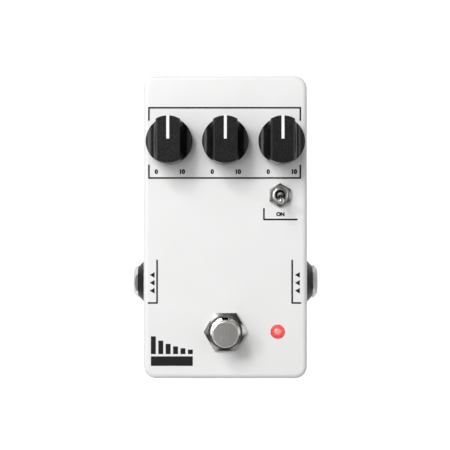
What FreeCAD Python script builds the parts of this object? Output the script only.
import FreeCAD, Part
import math
import os

from FreeCAD import Vector

os.makedirs("parts", exist_ok=True)

# All sizes are millimetres.  X runs to the right of the face, Y to its rear edge,
# Z up out of the face, and Z = 0 is the floor that the rubber feet stand on.

# ---- Box: straight-sided cast shell, open below, closed by a screwed plate ----
BODY_WIDTH = 66.4
BODY_LENGTH = 123.0
BOX_HEIGHT = 36.5
CORNER_RADIUS = 5.0
FACE_EDGE_RADIUS = 2.0
WALL = 2.2
FACE_THICKNESS = 2.3

# ---- Plate, its screws and the feet under it ----
PLATE_THICKNESS = 2.5
PLATE_EDGE_RADIUS = 0.8
SEAM_EDGE = 0.3
PLATE_LIP_HEIGHT = 1.5
PLATE_LIP_WIDTH = 1.6
PLATE_LIP_GAP = 0.2
BOSS_RADIUS = 4.2
BOSS_INSET = 6.2
SCREW_RADIUS = 1.75
SCREW_LENGTH = 11.0
SCREW_HEAD_RADIUS = 3.3
SCREW_HEAD_DEPTH = 1.7
SCREW_HOLE_GAP = 0.2
FOOT_HEIGHT = 3.0
FOOT_RADIUS = 6.0
FOOT_TAPER = 0.9
FOOT_INSET_X = 12.2
FOOT_INSET_Y = 18.5

# ---- Levels that the rest is built from ----
PLATE_TOP_Z = FOOT_HEIGHT + PLATE_THICKNESS
FACE_Z = PLATE_TOP_Z + BOX_HEIGHT
UNDER_FACE_Z = FACE_Z - FACE_THICKNESS
INNER_X = BODY_WIDTH / 2 - WALL
INNER_Y = BODY_LENGTH / 2 - WALL

# ---- Named clearances ----
RUNNING_GAP = 0.05
PANEL_GAP = 0.2
LEG_GAP = 0.15
CUT_MARGIN = 1.0
NUT_SLOPE = 30.0

# ---- Rotary controls: three in a row ----
KNOB_PITCH = 22.7
KNOB_REAR_INSET = 26.8
KNOB_Y = BODY_LENGTH / 2 - KNOB_REAR_INSET
KNOB_RADIUS = 9.4
KNOB_LIFT = 0.6
KNOB_HEIGHT = 16.4
KNOB_BAR_WIDTH = 9.65
KNOB_SKIRT_HEIGHT = 3.8
KNOB_FLARE = 5.0
KNOB_EDGE = 0.7
KNOB_END_EDGE = 0.25
POINTER_WIDTH = 1.15
POINTER_DEPTH = 0.5
POINTER_START = 0.2
SHAFT_RADIUS = 3.0
INSERT_RADIUS = 4.0
INSERT_LENGTH = 8.6
SHAFT_END_GAP = 0.5
SET_SCREW_RADIUS = 1.5
SET_SCREW_LENGTH = 5.0
SET_SCREW_RISE = 4.0
SET_SCREW_SOCKET = 1.5
POT_WIDTH = 9.8
POT_LENGTH = 11.6
POT_DEPTH = 8.7
POT_BUSH_RADIUS = 3.5
POT_BUSH_HEIGHT = 5.0
POT_ROTOR_RADIUS = 4.2
POT_ROTOR_THICKNESS = 2.0
POT_ROOF = 3.2
POT_WASHER_RADIUS = 5.5
POT_WASHER_THICKNESS = 0.5
POT_NUT_FLATS = 10.0
POT_NUT_THICKNESS = 2.0
POT_LEG_PITCH = 2.5

# ---- Lever switch ----
TOGGLE_SIDE_INSET = 11.05
TOGGLE_X = BODY_WIDTH / 2 - TOGGLE_SIDE_INSET
TOGGLE_KNOB_GAP = 21.8
TOGGLE_Y = KNOB_Y - TOGGLE_KNOB_GAP
TOGGLE_BODY_WIDTH = 6.9
TOGGLE_BODY_LENGTH = 12.7
TOGGLE_BUSH_RADIUS = 3.1
TOGGLE_BUSH_HEIGHT = 4.5
TOGGLE_BORE_RADIUS = 2.1
TOGGLE_NUT_FLATS = 8.5
TOGGLE_NUT_CHAMFER_RADIUS = 3.85
TOGGLE_NUT_THICKNESS = 1.8
LEVER_BALL_RADIUS = 1.45
LEVER_SEAT_DROP = 0.5
LEVER_SEAT_THICKNESS = 1.0
LEVER_TILT = 14.5
LEVER_PIVOT_RISE = 2.0
LEVER_LENGTH = 9.55
LEVER_TIP_RADIUS = 1.2
LEVER_NECK_RADIUS = 0.8
LEVER_TAIL_LENGTH = 5.8
LEVER_TAIL_RADIUS = 0.6
TOGGLE_LEG_PITCH = 4.7

# ---- Foot-operated push switch ----
FOOTSWITCH_FRONT_INSET = 19.1
FOOTSWITCH_Y = FOOTSWITCH_FRONT_INSET - BODY_LENGTH / 2
FOOTSWITCH_BODY = 17.2
FOOTSWITCH_BODY_HEIGHT = 14.0
FOOTSWITCH_BUSH_RADIUS = 6.0
FOOTSWITCH_BUSH_RISE = 5.5
FOOTSWITCH_NUT_FLATS = 15.3
FOOTSWITCH_NUT_CHAMFER_RADIUS = 6.9
FOOTSWITCH_NUT_THICKNESS = 2.4
FOOTSWITCH_INNER_NUT = 2.0
FOOTSWITCH_NECK = 4.2
PLUNGER_RADIUS = 4.6
PLUNGER_CAP_RADIUS = 5.35
PLUNGER_CAP_HEIGHT = 5.0
PLUNGER_CAP_EDGE = 0.55
PLUNGER_TRAVEL = 3.0
PLUNGER_TRAVEL_SPARE = 0.5
PLUNGER_FLANGE_RADIUS = 5.2
PLUNGER_FLANGE_HEIGHT = 1.5
PLUNGER_GUIDE_RADIUS = 2.3
PLUNGER_GUIDE_LENGTH = 3.8
SPRING_RADIUS = 3.6
SPRING_WIRE_RADIUS = 0.35
SPRING_LENGTH = 7.6
SPRING_TURNS = 4
LUG_PITCH = 5.0
LUG_LENGTH = 4.0

# ---- Lamp ----
LAMP_SIDE_INSET = 12.0
LAMP_X = BODY_WIDTH / 2 - LAMP_SIDE_INSET
LAMP_Y = FOOTSWITCH_Y
LAMP_RADIUS = 2.7
LAMP_RISE = 2.0
LAMP_FLANGE_RADIUS = 3.5
LAMP_FLANGE_HEIGHT = 2.5
LAMP_LEG_WIDTH = 0.5
LAMP_LEG_PITCH = 2.54

# ---- Side jacks: one each side, mirrored ----
JACK_FRONT_INSET = 38.9
JACK_Y = JACK_FRONT_INSET - BODY_LENGTH / 2
JACK_Z = 24.0
JACK_BORE_RADIUS = 3.25
JACK_BUSH_RADIUS = 4.75
JACK_BUSH_LENGTH = 12.0
JACK_COLLAR_RADIUS = 9.7
JACK_COLLAR_STEP_RADIUS = 8.75
JACK_COLLAR_STEP = 0.7
JACK_COLLAR_END_RADIUS = 6.25
JACK_COLLAR_LENGTH = 3.05
JACK_NUT_FLATS = 11.7
JACK_NUT_CHAMFER_RADIUS = 5.0
JACK_NUT_SLOPE = 39.0
JACK_NUT_LENGTH = 1.95
JACK_NUT_TURN = 4.5
JACK_BUSH_SHORT = 0.3
JACK_BODY_LENGTH = 22.5
JACK_BODY_WIDTH = 16.0
JACK_BODY_HEIGHT = 14.0
JACK_THROAT_RADIUS = 3.6
JACK_THROAT_LENGTH = 19.0
JACK_FLANGE_RADIUS = 5.6
JACK_FLANGE_LENGTH = 2.4
STRIP_WIDTH = 3.0
STRIP_THICKNESS = 0.4
STRIP_OFFSET = 5.0
STRIP_TAIL = 3.5
STRIP_FINGER_OFFSET = 2.9

# ---- Power inlet in the rear wall ----
INLET_WIDTH = 9.5
INLET_HEIGHT = 11.0
INLET_LENGTH = 14.0
INLET_NOSE_RADIUS = 4.7
INLET_RECESS = 0.3
INLET_BORE_RADIUS = 2.95
INLET_BORE_LENGTH = 11.0
INLET_PIN_RADIUS = 1.05
INLET_PIN_SETBACK = 1.0
INLET_PIN_ROOT = 2.0
INLET_PIN_ROOT_RADIUS = 1.7
INLET_PIN_COLLAR = 0.5
INLET_SLOT_DEPTH = 4.2
INLET_SLOT_WIDTH = 3.2

# ---- Circuit boards and what stands on them ----
BOARD_THICKNESS = 1.6
BOARD_TOP_Z = UNDER_FACE_Z - POT_DEPTH
BOARD_SIDE_GAP = 2.5
BOARD_JACK_GAP = 4.1
BOARD_FRONT_Y = JACK_Y + JACK_BODY_WIDTH / 2 + BOARD_JACK_GAP
BOARD_REAR_GAP = 0.6
BOARD_NOTCH_GAP = 1.0
LEG_OUT = 1.2
LAMP_BOARD_SIZE = 11.0
CHIP_SIZE = (10.0, 6.4, 3.2)
CHIP_PITCH = 16.0
CHIP_FRONT_INSET = 12.5
CHIP_Y = BOARD_FRONT_Y + CHIP_FRONT_INSET
CAPACITOR_RADIUS = 2.5
CAPACITOR_HEIGHT = 7.5
CAPACITOR_PITCH = 8.0
CAPACITOR_CHIP_GAP = 20.0
CAPACITOR_Y = CHIP_Y + CAPACITOR_CHIP_GAP

ORIGIN = Vector(0, 0, 0)
UP = Vector(0, 0, 1)
RIGHT = Vector(1, 0, 0)
REAR = Vector(0, 1, 0)
SIDES = (-1, 1)
POINTS_TO_SIDES = 0
POINTS_TO_ENDS = 30
KNOB_PLACES = (("left", -KNOB_PITCH), ("middle", 0.0), ("right", KNOB_PITCH))
KNOB_BASE_Z = FACE_Z + KNOB_LIFT
KNOB_TOP_Z = KNOB_BASE_Z + KNOB_HEIGHT
SKIRT_TOP_Z = KNOB_BASE_Z + KNOB_SKIRT_HEIGHT
POT_BUSH_TOP_Z = FACE_Z + POT_BUSH_HEIGHT
INSERT_BASE_Z = POT_BUSH_TOP_Z + 0.5
INSERT_TOP_Z = INSERT_BASE_Z + INSERT_LENGTH
FOOTSWITCH_TOP_Z = UNDER_FACE_Z - FOOTSWITCH_INNER_NUT - FOOTSWITCH_NECK
FOOTSWITCH_BOTTOM_Z = FOOTSWITCH_TOP_Z - FOOTSWITCH_BODY_HEIGHT
PLUNGER_FLANGE_TOP_Z = FOOTSWITCH_TOP_Z - 0.1
PLUNGER_FLANGE_Z = PLUNGER_FLANGE_TOP_Z - PLUNGER_FLANGE_HEIGHT
SPRING_SEAT_Z = PLUNGER_FLANGE_Z - SPRING_LENGTH
INLET_Z = BOARD_TOP_Z - BOARD_THICKNESS - INLET_HEIGHT / 2


# ---- Shape helpers ----
def rod(radius, x, y, bottom, top):
    """Upright cylinder between two levels."""
    return Part.makeCylinder(radius, top - bottom, Vector(x, y, bottom))


def block(x, y, width, length, bottom, top):
    """Box centred on (x, y) between two levels."""
    corner = Vector(x - width / 2, y - length / 2, bottom)
    return Part.makeBox(width, length, top - bottom, corner)


def flat_face(corners):
    """Plane face inside a closed run of straight edges."""
    return Part.Face(Part.makePolygon(corners + [corners[0]]))


def turned(profile):
    """Solid turned about +Z from (radius, height) corners."""
    corners = [Vector(radius, 0, height) for radius, height in profile]
    return flat_face(corners).revolve(ORIGIN, UP, 360)


def rounded_block(width, length, radius, bottom, top):
    """Upright block with four rounded corners."""
    solid = block(0, 0, width, length, bottom, top)
    upright = [edge for edge in solid.Edges if edge.BoundBox.ZLength > (top - bottom) / 2]
    return solid.makeFillet(radius, upright)


def edges_at(solid, level):
    """Every edge that lies in one horizontal plane."""
    flat = [edge for edge in solid.Edges if edge.BoundBox.ZLength < 0.001]
    return [edge for edge in flat if abs(edge.BoundBox.ZMin - level) < 0.001]


def hex_nut(flats, thickness, bore, chamfer_radius, turn, slope=NUT_SLOPE):
    """Six-sided nut standing on Z = 0, its outer corners taken off by a cone."""
    corner_radius = flats / 2 / math.cos(math.pi / 6)
    corners = []
    for index in range(6):
        angle = math.radians(turn + 60 * index)
        corners.append(Vector(corner_radius * math.cos(angle), corner_radius * math.sin(angle), 0))
    prism = flat_face(corners).extrude(Vector(0, 0, thickness))
    drop = (corner_radius - chamfer_radius) * math.tan(math.radians(slope))
    envelope = turned([
        (0, 0),
        (corner_radius, 0),
        (corner_radius, thickness - drop),
        (chamfer_radius, thickness),
        (0, thickness),
    ])
    hole = rod(bore, 0, 0, -CUT_MARGIN, thickness + CUT_MARGIN)
    return prism.common(envelope).cut(hole)


def to_right_wall(shape):
    """Turn a part built along +Z so that it leaves the right wall along +X."""
    placed = shape.copy()
    placed.rotate(ORIGIN, REAR, 90)
    placed.translate(Vector(BODY_WIDTH / 2, JACK_Y, JACK_Z))
    return placed


def to_rear_wall(shape):
    """Turn a part built along +Z so that it leaves the rear wall along +Y."""
    placed = shape.copy()
    placed.rotate(ORIGIN, RIGHT, -90)
    placed.translate(Vector(0, BODY_LENGTH / 2, INLET_Z))
    return placed


def save(node, shape):
    """Write one node as its own STEP file."""
    shape.exportStep("parts/" + node + ".step")


# ---- Box, plate, screws and feet ----
def boss_places():
    """Centres of the four corner bosses."""
    reach_x = BODY_WIDTH / 2 - BOSS_INSET
    reach_y = BODY_LENGTH / 2 - BOSS_INSET
    return [(side * reach_x, end * reach_y) for side in SIDES for end in SIDES]


def enclosure():
    shell = rounded_block(BODY_WIDTH, BODY_LENGTH, CORNER_RADIUS, PLATE_TOP_Z, FACE_Z)
    shell = shell.makeFillet(FACE_EDGE_RADIUS, edges_at(shell, FACE_Z))
    shell = shell.makeChamfer(SEAM_EDGE, edges_at(shell, PLATE_TOP_Z))
    hollow = rounded_block(
        2 * INNER_X,
        2 * INNER_Y,
        CORNER_RADIUS - WALL,
        PLATE_TOP_Z - CUT_MARGIN,
        UNDER_FACE_Z,
    )
    for x, y in boss_places():
        hollow = hollow.cut(rod(BOSS_RADIUS, x, y, PLATE_TOP_Z - CUT_MARGIN, UNDER_FACE_Z))
    shell = shell.cut(hollow)
    screw_depth = SCREW_LENGTH - PLATE_THICKNESS + CUT_MARGIN
    for x, y in boss_places():
        shell = shell.cut(rod(SCREW_RADIUS, x, y, PLATE_TOP_Z, PLATE_TOP_Z + screw_depth))
    for drill in panel_holes():
        shell = shell.cut(drill)
    return shell


def panel_holes():
    """Drills for every part that comes through the box."""
    low = UNDER_FACE_Z - CUT_MARGIN
    high = FACE_Z + CUT_MARGIN
    drills = [rod(POT_BUSH_RADIUS + PANEL_GAP, x, KNOB_Y, low, high) for _, x in KNOB_PLACES]
    drills.append(rod(TOGGLE_BUSH_RADIUS + PANEL_GAP, TOGGLE_X, TOGGLE_Y, low, high))
    drills.append(rod(FOOTSWITCH_BUSH_RADIUS + PANEL_GAP, 0, FOOTSWITCH_Y, low, high))
    drills.append(rod(LAMP_RADIUS + PANEL_GAP, LAMP_X, LAMP_Y, low, high))
    jack_drill = rod(JACK_BUSH_RADIUS + PANEL_GAP, 0, 0, -WALL - CUT_MARGIN, CUT_MARGIN)
    jack_drill = to_right_wall(jack_drill)
    drills.append(jack_drill)
    drills.append(jack_drill.mirror(ORIGIN, RIGHT))
    inlet_drill = rod(INLET_NOSE_RADIUS + PANEL_GAP, 0, 0, -WALL - CUT_MARGIN, CUT_MARGIN)
    drills.append(to_rear_wall(inlet_drill))
    return drills


def screw_sink(gap):
    """Countersunk head and shank, turned about +Z, head flush with Z = 0."""
    shank = SCREW_RADIUS + gap
    head = SCREW_HEAD_RADIUS + gap
    return turned([
        (0, 0),
        (head, 0),
        (shank, SCREW_HEAD_DEPTH),
        (shank, SCREW_LENGTH),
        (0, SCREW_LENGTH),
    ])


def base_plate():
    plate = rounded_block(BODY_WIDTH, BODY_LENGTH, CORNER_RADIUS, FOOT_HEIGHT, PLATE_TOP_Z)
    plate = plate.makeFillet(PLATE_EDGE_RADIUS, edges_at(plate, FOOT_HEIGHT))
    plate = plate.makeChamfer(SEAM_EDGE, edges_at(plate, PLATE_TOP_Z))
    lip_top = PLATE_TOP_Z + PLATE_LIP_HEIGHT
    lip_width = 2 * (INNER_X - PLATE_LIP_GAP)
    lip_length = 2 * (INNER_Y - PLATE_LIP_GAP)
    lip_radius = CORNER_RADIUS - WALL - PLATE_LIP_GAP
    lip = rounded_block(lip_width, lip_length, lip_radius, PLATE_TOP_Z, lip_top)
    inner = block(
        0,
        0,
        lip_width - 2 * PLATE_LIP_WIDTH,
        lip_length - 2 * PLATE_LIP_WIDTH,
        PLATE_TOP_Z,
        lip_top,
    )
    lip = lip.cut(inner)
    for x, y in boss_places():
        notch = 2 * (BOSS_RADIUS + PLATE_LIP_GAP)
        reach_x = math.copysign(BOSS_RADIUS, x)
        reach_y = math.copysign(BOSS_RADIUS, y)
        lip = lip.cut(block(x + reach_x, y, notch + 2 * BOSS_RADIUS, notch, PLATE_TOP_Z, lip_top))
        lip = lip.cut(block(x, y + reach_y, notch, notch + 2 * BOSS_RADIUS, PLATE_TOP_Z, lip_top))
    plate = plate.fuse(lip.Solids).removeSplitter()
    for x, y in boss_places():
        sink = screw_sink(SCREW_HOLE_GAP)
        sink.translate(Vector(x, y, FOOT_HEIGHT))
        plate = plate.cut(sink)
    return plate


def base_screws():
    """Four countersunk screws with a cross recess."""
    screws = []
    for x, y in boss_places():
        screw = screw_sink(0)
        for width, length in ((0.9, 3.6), (3.6, 0.9)):
            screw = screw.cut(block(0, 0, width, length, 0, SCREW_HEAD_DEPTH * 0.8))
        screw.translate(Vector(x, y, FOOT_HEIGHT))
        screws.append(screw)
    return Part.makeCompound(screws)


def rubber_feet():
    """Four stick-on feet, slightly tapered, the bottom edge broken."""
    foot_bottom = FOOT_RADIUS - FOOT_TAPER
    edge = FOOT_TAPER / 2
    feet = []
    for side in SIDES:
        for end in SIDES:
            foot = turned([
                (0, 0),
                (foot_bottom - edge, 0),
                (foot_bottom, edge),
                (FOOT_RADIUS, FOOT_HEIGHT),
                (0, FOOT_HEIGHT),
            ])
            x = side * (BODY_WIDTH / 2 - FOOT_INSET_X)
            y = end * (BODY_LENGTH / 2 - FOOT_INSET_Y)
            foot.translate(Vector(x, y, 0))
            feet.append(foot)
    return Part.makeCompound(feet)


# ---- Rotary controls ----
def knob_scoop(side):
    """Cutter for one flank: upright beside the bar, flaring out to the skirt at its foot."""
    bar = side * KNOB_BAR_WIDTH / 2
    rim = side * (KNOB_RADIUS + CUT_MARGIN)
    start = -KNOB_RADIUS - CUT_MARGIN
    high = KNOB_TOP_Z + CUT_MARGIN
    flare_top = SKIRT_TOP_Z + KNOB_FLARE
    curve = Part.BezierCurve()
    curve.setPoles([
        Vector(bar, start, flare_top),
        Vector(bar, start, SKIRT_TOP_Z),
        Vector(rim, start, SKIRT_TOP_Z),
    ])
    sides = Part.makePolygon([
        Vector(rim, start, SKIRT_TOP_Z),
        Vector(rim, start, high),
        Vector(bar, start, high),
        Vector(bar, start, flare_top),
    ])
    outline = Part.Wire([curve.toShape()] + sides.Edges)
    return Part.Face(outline).extrude(Vector(0, -2 * start, 0))


def knob_blank():
    """Outside form of the knob about its own axis."""
    blank = rod(KNOB_RADIUS, 0, 0, KNOB_BASE_Z, KNOB_TOP_Z)
    for side in SIDES:
        blank = blank.cut(knob_scoop(side))
    long_edges = [edge for edge in edges_at(blank, KNOB_TOP_Z) if edge.BoundBox.XLength < 0.001]
    blank = blank.makeChamfer(KNOB_EDGE, long_edges)
    ends = [edge for edge in edges_at(blank, KNOB_TOP_Z) if edge.Curve.TypeId == "Part::GeomCircle"]
    return blank.makeChamfer(KNOB_END_EDGE, ends)


def pointer_track():
    """Groove along the top of the bar and down its rear end."""
    reach = KNOB_RADIUS + CUT_MARGIN
    top = Part.makeBox(
        POINTER_WIDTH,
        reach - POINTER_START,
        POINTER_DEPTH + CUT_MARGIN,
        Vector(-POINTER_WIDTH / 2, POINTER_START, KNOB_TOP_Z - POINTER_DEPTH),
    )
    end = Part.makeBox(
        POINTER_WIDTH,
        reach,
        KNOB_TOP_Z - SKIRT_TOP_Z,
        Vector(-POINTER_WIDTH / 2, KNOB_RADIUS - POINTER_DEPTH, SKIRT_TOP_Z),
    )
    return top.fuse(end).removeSplitter()


def set_screw_drill(radius):
    """Radial hole from the shaft out through the front of the knob."""
    middle = INSERT_BASE_Z + SET_SCREW_RISE
    return Part.makeCylinder(radius, KNOB_RADIUS + CUT_MARGIN, Vector(0, 0, middle), -REAR)


def knob():
    nut_room = POT_NUT_FLATS / 2 / math.cos(math.pi / 6) + 0.8
    nut_room_top = FACE_Z + POT_WASHER_THICKNESS + POT_NUT_THICKNESS + 0.7
    body = knob_blank().cut(pointer_track())
    body = body.cut(rod(nut_room, 0, 0, KNOB_BASE_Z - CUT_MARGIN, nut_room_top))
    body = body.cut(rod(INSERT_RADIUS, 0, 0, KNOB_BASE_Z, INSERT_TOP_Z))
    return body.cut(set_screw_drill(SET_SCREW_RADIUS + PANEL_GAP))


def knob_pointer():
    return knob_blank().common(pointer_track())


def knob_insert():
    sleeve = rod(INSERT_RADIUS, 0, 0, INSERT_BASE_Z, INSERT_TOP_Z)
    sleeve = sleeve.cut(rod(SHAFT_RADIUS, 0, 0, INSERT_BASE_Z, INSERT_TOP_Z - SHAFT_END_GAP))
    return sleeve.cut(set_screw_drill(SET_SCREW_RADIUS))


def knob_screw():
    """Headless screw that bears on the flat of the shaft."""
    seat = shaft_flat()
    middle = INSERT_BASE_Z + SET_SCREW_RISE
    screw = Part.makeCylinder(SET_SCREW_RADIUS, SET_SCREW_LENGTH, Vector(0, -seat, middle), -REAR)
    end = -seat - SET_SCREW_LENGTH
    socket = Part.makeBox(
        SET_SCREW_SOCKET,
        SET_SCREW_SOCKET,
        SET_SCREW_SOCKET,
        Vector(-SET_SCREW_SOCKET / 2, end, middle - SET_SCREW_SOCKET / 2),
    )
    return screw.cut(socket)


def shaft_flat():
    """Distance of the shaft's flat from its axis."""
    return SHAFT_RADIUS * 0.8


def pot_shaft():
    """Shaft with its rotor disc below and a flat for the set screw above."""
    rotor_top = UNDER_FACE_Z - POT_ROOF - RUNNING_GAP
    rotor_bottom = rotor_top - POT_ROTOR_THICKNESS
    shaft_top = INSERT_TOP_Z - SHAFT_END_GAP - 0.2
    shaft = rod(SHAFT_RADIUS, 0, 0, rotor_bottom, shaft_top)
    shaft = shaft.fuse(rod(POT_ROTOR_RADIUS, 0, 0, rotor_bottom, rotor_top)).removeSplitter()
    flat = block(
        0,
        -shaft_flat() - SHAFT_RADIUS / 2,
        2 * SHAFT_RADIUS,
        SHAFT_RADIUS,
        INSERT_BASE_Z,
        INSERT_TOP_Z,
    )
    return shaft.cut(flat)


def pot_body():
    """Square case under the face with a threaded bush through it."""
    case = block(0, 0, POT_WIDTH, POT_LENGTH, BOARD_TOP_Z, UNDER_FACE_Z)
    case = case.fuse(rod(POT_BUSH_RADIUS, 0, 0, UNDER_FACE_Z, POT_BUSH_TOP_Z))
    room = POT_ROTOR_RADIUS + PANEL_GAP
    case = case.cut(rod(room, 0, 0, BOARD_TOP_Z, UNDER_FACE_Z - POT_ROOF))
    return case.cut(rod(SHAFT_RADIUS + RUNNING_GAP, 0, 0, BOARD_TOP_Z, POT_BUSH_TOP_Z))


def pot_leg_places():
    """Three legs at the front of every rotary control."""
    row = KNOB_Y - POT_LENGTH / 2 + 0.6
    return [(x + step * POT_LEG_PITCH, row) for _, x in KNOB_PLACES for step in (-1, 0, 1)]


def legs(places, width, length):
    """Flat legs from under a switch or control through the board."""
    bottom = BOARD_TOP_Z - BOARD_THICKNESS - LEG_OUT
    return [block(x, y, width, length, bottom, BOARD_TOP_Z) for x, y in places]


def pot_washers():
    top = FACE_Z + POT_WASHER_THICKNESS
    rings = []
    for _, x in KNOB_PLACES:
        ring = rod(POT_WASHER_RADIUS, x, KNOB_Y, FACE_Z, top)
        rings.append(ring.cut(rod(POT_BUSH_RADIUS + RUNNING_GAP, x, KNOB_Y, FACE_Z, top)))
    return Part.makeCompound(rings)


def pot_nuts():
    nuts = []
    for _, x in KNOB_PLACES:
        nut = hex_nut(POT_NUT_FLATS, POT_NUT_THICKNESS, POT_BUSH_RADIUS, POT_NUT_FLATS / 2, POINTS_TO_SIDES)
        nut.translate(Vector(x, KNOB_Y, FACE_Z + POT_WASHER_THICKNESS))
        nuts.append(nut)
    return Part.makeCompound(nuts)


# ---- Lever switch ----
def lever_pivot():
    return Vector(TOGGLE_X, TOGGLE_Y, FACE_Z + LEVER_PIVOT_RISE)


def toggle_body():
    body = block(
        TOGGLE_X,
        TOGGLE_Y,
        TOGGLE_BODY_WIDTH,
        TOGGLE_BODY_LENGTH,
        BOARD_TOP_Z,
        UNDER_FACE_Z,
    )
    pocket_bottom = lever_pivot().z - LEVER_TAIL_LENGTH - LEVER_TAIL_RADIUS - 0.4
    swing = 2 * (LEVER_TAIL_LENGTH * math.sin(math.radians(LEVER_TILT)) + LEVER_TAIL_RADIUS + 0.4)
    pocket = block(TOGGLE_X, TOGGLE_Y, 2 * TOGGLE_BORE_RADIUS, swing, pocket_bottom, UNDER_FACE_Z)
    return body.cut(pocket)


def toggle_bush():
    """Threaded sleeve with a ring inside that the lever's ball rests in."""
    top = FACE_Z + TOGGLE_BUSH_HEIGHT
    edge = 0.4
    seat_radius = LEVER_BALL_RADIUS + RUNNING_GAP
    seat_top = lever_pivot().z - LEVER_SEAT_DROP
    wall = turned([
        (TOGGLE_BORE_RADIUS, UNDER_FACE_Z),
        (TOGGLE_BUSH_RADIUS, UNDER_FACE_Z),
        (TOGGLE_BUSH_RADIUS, top - edge),
        (TOGGLE_BUSH_RADIUS - edge, top),
        (TOGGLE_BORE_RADIUS, top),
        (TOGGLE_BORE_RADIUS, seat_top),
        (seat_radius, seat_top),
        (seat_radius, seat_top - LEVER_SEAT_THICKNESS),
        (TOGGLE_BORE_RADIUS, seat_top - LEVER_SEAT_THICKNESS),
    ])
    wall.translate(Vector(TOGGLE_X, TOGGLE_Y, 0))
    return wall


def toggle_nut():
    nut = hex_nut(
        TOGGLE_NUT_FLATS,
        TOGGLE_NUT_THICKNESS,
        TOGGLE_BUSH_RADIUS,
        TOGGLE_NUT_CHAMFER_RADIUS,
        POINTS_TO_ENDS,
    )
    nut.translate(Vector(TOGGLE_X, TOGGLE_Y, FACE_Z))
    return nut


def toggle_lever():
    """Ball, tapered bat above it and short tail below, tilted to the front."""
    ball = Part.makeSphere(LEVER_BALL_RADIUS)
    bat = Part.makeCone(LEVER_NECK_RADIUS, LEVER_TIP_RADIUS, LEVER_LENGTH)
    tip = Part.makeSphere(LEVER_TIP_RADIUS, Vector(0, 0, LEVER_LENGTH))
    tail = rod(LEVER_TAIL_RADIUS, 0, 0, -LEVER_TAIL_LENGTH, 0)
    tail_end = Part.makeSphere(LEVER_TAIL_RADIUS, Vector(0, 0, -LEVER_TAIL_LENGTH))
    lever = ball.fuse([bat, tip, tail, tail_end])
    lever.rotate(ORIGIN, RIGHT, LEVER_TILT)
    lever.translate(lever_pivot())
    return lever


def toggle_leg_places():
    return [(TOGGLE_X, TOGGLE_Y + step * TOGGLE_LEG_PITCH) for step in (-1, 0, 1)]


# ---- Foot-operated push switch ----
def plunger_room():
    """Bore inside the switch body that the flange and the spring work in."""
    return PLUNGER_FLANGE_RADIUS + PANEL_GAP


def footswitch_body():
    body = block(
        0,
        FOOTSWITCH_Y,
        FOOTSWITCH_BODY,
        FOOTSWITCH_BODY,
        FOOTSWITCH_BOTTOM_Z,
        FOOTSWITCH_TOP_Z,
    )
    return body.cut(rod(plunger_room(), 0, FOOTSWITCH_Y, SPRING_SEAT_Z, FOOTSWITCH_TOP_Z))


def footswitch_bush():
    top = FACE_Z + FOOTSWITCH_BUSH_RISE
    edge = 0.5
    bush = turned([
        (PLUNGER_RADIUS + RUNNING_GAP, FOOTSWITCH_TOP_Z),
        (FOOTSWITCH_BUSH_RADIUS, FOOTSWITCH_TOP_Z),
        (FOOTSWITCH_BUSH_RADIUS, top - edge),
        (FOOTSWITCH_BUSH_RADIUS - edge, top),
        (PLUNGER_RADIUS + RUNNING_GAP, top),
    ])
    bush.translate(Vector(0, FOOTSWITCH_Y, 0))
    return bush


def footswitch_nut(thickness, bottom):
    nut = hex_nut(
        FOOTSWITCH_NUT_FLATS,
        thickness,
        FOOTSWITCH_BUSH_RADIUS,
        FOOTSWITCH_NUT_CHAMFER_RADIUS,
        POINTS_TO_SIDES,
    )
    nut.translate(Vector(0, FOOTSWITCH_Y, bottom))
    return nut


def footswitch_plunger():
    """Cap, stem, stop flange and spring guide in one turned piece."""
    cap_bottom = FACE_Z + FOOTSWITCH_BUSH_RISE + PLUNGER_TRAVEL + PLUNGER_TRAVEL_SPARE
    cap_top = cap_bottom + PLUNGER_CAP_HEIGHT
    plunger = turned([
        (0, PLUNGER_FLANGE_Z - PLUNGER_GUIDE_LENGTH),
        (PLUNGER_GUIDE_RADIUS, PLUNGER_FLANGE_Z - PLUNGER_GUIDE_LENGTH),
        (PLUNGER_GUIDE_RADIUS, PLUNGER_FLANGE_Z),
        (PLUNGER_FLANGE_RADIUS, PLUNGER_FLANGE_Z),
        (PLUNGER_FLANGE_RADIUS, PLUNGER_FLANGE_TOP_Z),
        (PLUNGER_RADIUS, PLUNGER_FLANGE_TOP_Z),
        (PLUNGER_RADIUS, cap_bottom),
        (PLUNGER_CAP_RADIUS, cap_bottom),
        (PLUNGER_CAP_RADIUS, cap_top),
        (0, cap_top),
    ])
    plunger = plunger.makeFillet(PLUNGER_CAP_EDGE, edges_at(plunger, cap_top))
    plunger.translate(Vector(0, FOOTSWITCH_Y, 0))
    return plunger


def footswitch_spring():
    """Round-wire coil between the seat in the body and the plunger's flange."""
    bottom = SPRING_SEAT_Z + SPRING_WIRE_RADIUS
    rise = SPRING_LENGTH - 2 * SPRING_WIRE_RADIUS
    helix = Part.makeHelix(rise / SPRING_TURNS, rise, SPRING_RADIUS)
    section = Part.makeCircle(SPRING_WIRE_RADIUS, Vector(SPRING_RADIUS, 0, 0), REAR)
    coil = Part.Wire(helix.Edges).makePipeShell([Part.Wire([section])], True, True)
    coil.translate(Vector(0, FOOTSWITCH_Y, bottom))
    return coil


def footswitch_lugs():
    """Nine solder lugs in three rows under the body."""
    bottom = FOOTSWITCH_BOTTOM_Z - LUG_LENGTH
    lugs = []
    for column in (-1, 0, 1):
        for row in (-1, 0, 1):
            x = column * LUG_PITCH
            y = FOOTSWITCH_Y + row * LUG_PITCH
            lugs.append(block(x, y, 2.2, 0.8, bottom, FOOTSWITCH_BOTTOM_Z))
    return Part.makeCompound(lugs)


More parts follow.
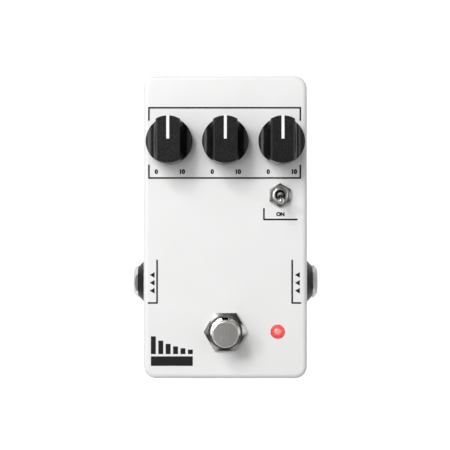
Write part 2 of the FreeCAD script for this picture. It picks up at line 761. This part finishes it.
# ---- Lamp ----
def led_lens():
    """Domed lens held by a flange against the underside of the face."""
    shoulder = FACE_Z + LAMP_RISE - LAMP_RADIUS * 0.8
    lens = rod(LAMP_RADIUS, LAMP_X, LAMP_Y, UNDER_FACE_Z, shoulder)
    dome = Part.makeSphere(LAMP_RADIUS, ORIGIN)
    squash = FreeCAD.Matrix()
    squash.scale(1, 1, 0.8)
    dome = dome.transformGeometry(squash)
    dome.translate(Vector(LAMP_X, LAMP_Y, shoulder))
    upper = dome.common(block(LAMP_X, LAMP_Y, 10, 10, shoulder, FACE_Z + 2 * LAMP_RISE))
    flange_bottom = UNDER_FACE_Z - LAMP_FLANGE_HEIGHT
    flange = rod(LAMP_FLANGE_RADIUS, LAMP_X, LAMP_Y, flange_bottom, UNDER_FACE_Z)
    return lens.fuse([upper, flange])


def led_leg_places():
    return [(LAMP_X + side * LAMP_LEG_PITCH / 2, LAMP_Y) for side in SIDES]


def led_legs():
    """Two square wires from the lens through the small board."""
    bottom = BOARD_TOP_Z - BOARD_THICKNESS - LEG_OUT
    top = UNDER_FACE_Z - LAMP_FLANGE_HEIGHT
    width = LAMP_LEG_WIDTH
    return Part.makeCompound([block(x, y, width, width, bottom, top) for x, y in led_leg_places()])


# ---- Side jacks, built along +Z with Z = 0 at the outside of the wall ----
def jack_body():
    face = -WALL
    body = block(0, 0, JACK_BODY_HEIGHT, JACK_BODY_WIDTH, face - JACK_BODY_LENGTH, face)
    body = body.cut(rod(JACK_THROAT_RADIUS, 0, 0, face - JACK_THROAT_LENGTH, face))
    body = body.cut(rod(JACK_FLANGE_RADIUS, 0, 0, face - JACK_FLANGE_LENGTH, face))
    sleeve_end = jack_outer_end() - JACK_BUSH_SHORT - JACK_BUSH_LENGTH
    body = body.cut(rod(JACK_BUSH_RADIUS, 0, 0, sleeve_end, face))
    slot_end = face - JACK_BODY_LENGTH * 0.5
    for side in SIDES:
        slot = Part.makeBox(
            STRIP_OFFSET,
            STRIP_WIDTH + 2 * PANEL_GAP,
            JACK_BODY_LENGTH,
            Vector(0, -STRIP_WIDTH / 2 - PANEL_GAP, slot_end - JACK_BODY_LENGTH),
        )
        if side < 0:
            slot = slot.mirror(ORIGIN, RIGHT)
        body = body.cut(slot)
    return body


def jack_outer_end():
    return JACK_COLLAR_LENGTH + JACK_NUT_LENGTH


def jack_bush():
    """Threaded sleeve through the wall, flanged inside the body."""
    end = jack_outer_end() - JACK_BUSH_SHORT
    start = end - JACK_BUSH_LENGTH
    flange = -WALL - JACK_FLANGE_LENGTH
    lead = 0.5
    return turned([
        (JACK_BORE_RADIUS, start),
        (JACK_BUSH_RADIUS, start),
        (JACK_BUSH_RADIUS, flange),
        (JACK_FLANGE_RADIUS, flange),
        (JACK_FLANGE_RADIUS, -WALL),
        (JACK_BUSH_RADIUS, -WALL),
        (JACK_BUSH_RADIUS, end - lead),
        (JACK_BUSH_RADIUS - lead, end),
        (JACK_BORE_RADIUS, end),
    ])


def jack_collar():
    """Dark conical bezel against the outside of the wall."""
    hole = JACK_BUSH_RADIUS + RUNNING_GAP
    return turned([
        (hole, 0),
        (JACK_COLLAR_RADIUS, 0),
        (JACK_COLLAR_STEP_RADIUS, JACK_COLLAR_STEP),
        (JACK_COLLAR_END_RADIUS, JACK_COLLAR_LENGTH),
        (hole, JACK_COLLAR_LENGTH),
    ])


def jack_nut(turn):
    """Nut of a jack, left a few degrees off level when it was tightened."""
    nut = hex_nut(
        JACK_NUT_FLATS,
        JACK_NUT_LENGTH,
        JACK_BUSH_RADIUS,
        JACK_NUT_CHAMFER_RADIUS,
        POINTS_TO_ENDS + turn,
        JACK_NUT_SLOPE,
    )
    nut.translate(Vector(0, 0, JACK_COLLAR_LENGTH))
    return nut


def jack_contacts():
    """Two leaf contacts, each with a solder tail and a finger bent into the throat."""
    back = -WALL - JACK_BODY_LENGTH
    bend = -WALL - JACK_BODY_LENGTH * 0.5
    tip = bend - STRIP_TAIL
    inside = STRIP_OFFSET - STRIP_THICKNESS
    leaves = []
    for side in SIDES:
        leaf = flat_face([
            Vector(side * inside, -STRIP_WIDTH / 2, back - STRIP_TAIL),
            Vector(side * STRIP_OFFSET, -STRIP_WIDTH / 2, back - STRIP_TAIL),
            Vector(side * STRIP_OFFSET, -STRIP_WIDTH / 2, bend),
            Vector(side * STRIP_FINGER_OFFSET, -STRIP_WIDTH / 2, tip),
            Vector(side * (STRIP_FINGER_OFFSET + STRIP_THICKNESS), -STRIP_WIDTH / 2, tip - STRIP_THICKNESS),
            Vector(side * inside, -STRIP_WIDTH / 2, bend - 2 * STRIP_THICKNESS),
        ])
        leaves.append(leaf.extrude(Vector(0, STRIP_WIDTH, 0)))
    return Part.makeCompound(leaves)


# ---- Power inlet, built along +Z with Z = 0 at the outside of the rear wall ----
def dc_jack_body():
    body = block(0, 0, INLET_WIDTH, INLET_HEIGHT, -WALL - INLET_LENGTH, -WALL)
    body = body.fuse(rod(INLET_NOSE_RADIUS, 0, 0, -WALL, -INLET_RECESS)).removeSplitter()
    bore_bottom = -INLET_RECESS - INLET_BORE_LENGTH
    body = body.cut(rod(INLET_BORE_RADIUS, 0, 0, bore_bottom, -INLET_RECESS))
    body = body.cut(rod(INLET_PIN_ROOT_RADIUS, 0, 0, bore_bottom - INLET_PIN_ROOT, bore_bottom))
    slot_length = INLET_BORE_LENGTH - WALL - 1
    return body.cut(Part.makeBox(
        INLET_SLOT_WIDTH,
        INLET_SLOT_DEPTH,
        slot_length,
        Vector(-INLET_SLOT_WIDTH / 2, 0, bore_bottom),
    ))


def dc_jack_pin():
    """Centre pin with a rounded nose and a thicker root in the back of the bore."""
    floor = -INLET_RECESS - INLET_BORE_LENGTH
    top = -INLET_RECESS - INLET_PIN_SETBACK
    nose = INLET_PIN_RADIUS * 0.5
    pin = rod(INLET_PIN_RADIUS, 0, 0, floor, top)
    pin = pin.makeFillet(nose, edges_at(pin, top))
    root = rod(INLET_PIN_ROOT_RADIUS, 0, 0, floor - INLET_PIN_ROOT, floor + INLET_PIN_COLLAR)
    return pin.fuse(root)


def dc_jack_contact():
    """Leaf that lies on the floor of the slot and bows towards the bore."""
    back = -INLET_RECESS - INLET_BORE_LENGTH
    length = INLET_BORE_LENGTH - WALL - 1
    width = INLET_SLOT_WIDTH - 2 * PANEL_GAP
    floor = INLET_SLOT_DEPTH
    corners = [
        Vector(-width / 2, floor, back),
        Vector(-width / 2, floor, back + length * 0.3),
        Vector(-width / 2, INLET_BORE_RADIUS, back + length * 0.8),
        Vector(-width / 2, INLET_BORE_RADIUS - STRIP_THICKNESS, back + length * 0.8),
        Vector(-width / 2, floor - STRIP_THICKNESS, back + length * 0.25),
        Vector(-width / 2, floor - STRIP_THICKNESS, back),
    ]
    return flat_face(corners).extrude(Vector(width, 0, 0))


# ---- Circuit boards ----
def drilled_board(board, holes, width, length):
    """Leg holes cut through a board."""
    for x, y in holes:
        drill = block(
            x,
            y,
            width + 2 * LEG_GAP,
            length + 2 * LEG_GAP,
            BOARD_TOP_Z - BOARD_THICKNESS,
            BOARD_TOP_Z,
        )
        board = board.cut(drill)
    return board


def main_board():
    rear = INNER_Y - BOARD_REAR_GAP
    half = INNER_X - BOARD_SIDE_GAP
    bottom = BOARD_TOP_Z - BOARD_THICKNESS
    centre = (rear + BOARD_FRONT_Y) / 2
    board = block(0, centre, 2 * half, rear - BOARD_FRONT_Y, bottom, BOARD_TOP_Z)
    for x, y in boss_places():
        if y > 0:
            notch = 2 * (BOSS_RADIUS + BOARD_NOTCH_GAP)
            reach = 2 * BOSS_RADIUS
            board = board.cut(block(x, y + reach, notch + reach, notch + 2 * reach, bottom, BOARD_TOP_Z))
    board = drilled_board(board, pot_leg_places(), 1.0, 0.6)
    return drilled_board(board, toggle_leg_places(), 1.4, 0.8)


def lamp_board():
    size = LAMP_BOARD_SIZE
    bottom = BOARD_TOP_Z - BOARD_THICKNESS
    board = block(LAMP_X, LAMP_Y, size, size, bottom, BOARD_TOP_Z)
    for x, y in led_leg_places():
        hole = LAMP_LEG_WIDTH
        board = board.cut(block(x, y, hole, hole, bottom, BOARD_TOP_Z))
    return board


def board_chips():
    """Three flat packages on the underside of the main board."""
    width, length, height = CHIP_SIZE
    top = BOARD_TOP_Z - BOARD_THICKNESS
    places = [step * CHIP_PITCH for step in (-1, 0, 1)]
    return Part.makeCompound([block(x, CHIP_Y, width, length, top - height, top) for x in places])


def board_capacitors():
    """Row of four round capacitors on the underside of the main board."""
    top = BOARD_TOP_Z - BOARD_THICKNESS
    places = [(step - 1.5) * CAPACITOR_PITCH for step in range(4)]
    bottom = top - CAPACITOR_HEIGHT
    return Part.makeCompound([rod(CAPACITOR_RADIUS, x, CAPACITOR_Y, bottom, top) for x in places])


# ---- Write every node ----
save("enclosure", enclosure())
save("base_plate", base_plate())
save("base_screws", base_screws())
save("rubber_feet", rubber_feet())

KNOB_PARTS = {
    "knob": knob(),
    "knob_pointer": knob_pointer(),
    "knob_insert": knob_insert(),
    "knob_screw": knob_screw(),
    "pot_shaft": pot_shaft(),
    "pot_body": pot_body(),
}
for place, centre_x in KNOB_PLACES:
    for part_name, part_shape in KNOB_PARTS.items():
        placed_part = part_shape.copy()
        placed_part.translate(Vector(centre_x, KNOB_Y, 0))
        save(place + "_" + part_name, placed_part)
save("pot_washers", pot_washers())
save("pot_nuts", pot_nuts())
save("pot_legs", Part.makeCompound(legs(pot_leg_places(), 1.0, 0.6)))

save("toggle_body", toggle_body())
save("toggle_bush", toggle_bush())
save("toggle_nut", toggle_nut())
save("toggle_lever", toggle_lever())
save("toggle_legs", Part.makeCompound(legs(toggle_leg_places(), 1.4, 0.8)))

save("footswitch_body", footswitch_body())
save("footswitch_bush", footswitch_bush())
save("footswitch_nut", footswitch_nut(FOOTSWITCH_NUT_THICKNESS, FACE_Z))
save("footswitch_inner_nut", footswitch_nut(FOOTSWITCH_INNER_NUT, UNDER_FACE_Z - FOOTSWITCH_INNER_NUT))
save("footswitch_plunger", footswitch_plunger())
save("footswitch_spring", footswitch_spring())
save("footswitch_lugs", footswitch_lugs())

save("led_lens", led_lens())
save("led_legs", led_legs())

JACK_PARTS = {
    "jack_body": jack_body(),
    "jack_bush": jack_bush(),
    "jack_collar": jack_collar(),
    "jack_contacts": jack_contacts(),
}
for part_name, part_shape in JACK_PARTS.items():
    right_part = to_right_wall(part_shape)
    save("input_" + part_name, right_part)
    save("output_" + part_name, right_part.mirror(ORIGIN, RIGHT))
save("input_jack_nut", to_right_wall(jack_nut(-JACK_NUT_TURN)))
save("output_jack_nut", to_right_wall(jack_nut(JACK_NUT_TURN)).mirror(ORIGIN, RIGHT))

save("dc_jack_body", to_rear_wall(dc_jack_body()))
save("dc_jack_pin", to_rear_wall(dc_jack_pin()))
save("dc_jack_contact", to_rear_wall(dc_jack_contact()))

save("main_board", main_board())
save("lamp_board", lamp_board())
save("board_chips", board_chips())
save("board_capacitors", board_capacitors())
